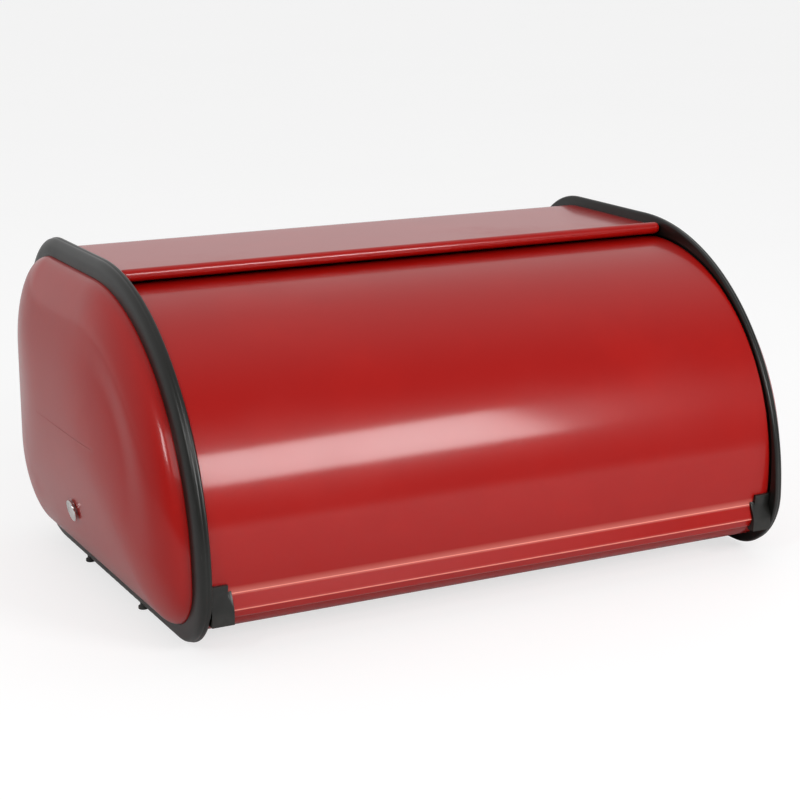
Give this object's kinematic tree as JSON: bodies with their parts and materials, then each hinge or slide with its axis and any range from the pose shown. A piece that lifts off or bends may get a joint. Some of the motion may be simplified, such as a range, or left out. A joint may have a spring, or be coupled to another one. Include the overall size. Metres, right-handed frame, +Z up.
{
  "type": "bread box with roll top",
  "caption": "Sheet-metal bread box with a rigid curved door that rolls up and back inside, moulded end frames, domed end caps and rubber feet.",
  "frame": {"origin": "on the table under the centre of the object", "axes": "+X to the right seen from the front, +Y to the rear, +Z up; the door faces -Y"},
  "size_m": [0.44, 0.294, 0.1965],
  "materials": {
    "red_enamel": "gloss enamel with slight orange peel",
    "black_plastic": "satin moulded plastic",
    "slider_plastic": "plain moulded plastic",
    "zinc_steel": "bright zinc plate",
    "rubber_feet": "matt rubber",
    "chrome_badge": "satin chrome"
  },
  "bodies": {
    "box": {"body_shell": "red_enamel", "badge": "chrome_badge", "badge_push_nuts": "zinc_steel", "left_end_frame": "black_plastic", "right_end_frame": "black_plastic", "left_end_cap": "red_enamel", "right_end_cap": "red_enamel", "left_floor_screws": "zinc_steel", "right_floor_screws": "zinc_steel", "left_rear_screws": "zinc_steel", "right_rear_screws": "zinc_steel", "left_cap_screws": "zinc_steel", "right_cap_screws": "zinc_steel", "left_front_foot": "rubber_feet", "right_front_foot": "rubber_feet", "left_rear_foot": "rubber_feet", "right_rear_foot": "rubber_feet"},
    "door": {"door_panel": "red_enamel", "left_handle_clip": "black_plastic", "right_handle_clip": "black_plastic", "left_tail_slider": "slider_plastic", "right_tail_slider": "slider_plastic", "left_handle_clip_rivet": "zinc_steel", "right_handle_clip_rivet": "zinc_steel", "left_tail_slider_rivet": "zinc_steel", "right_tail_slider_rivet": "zinc_steel"}
  },
  "joints": [
    {"name": "door_roll", "type": "hinge", "parent": "box", "child": "door", "pos_m": [0, -0.012, 0.0552], "axis": [-1, 0, 0], "range_deg": [0, 88]}
  ]
}
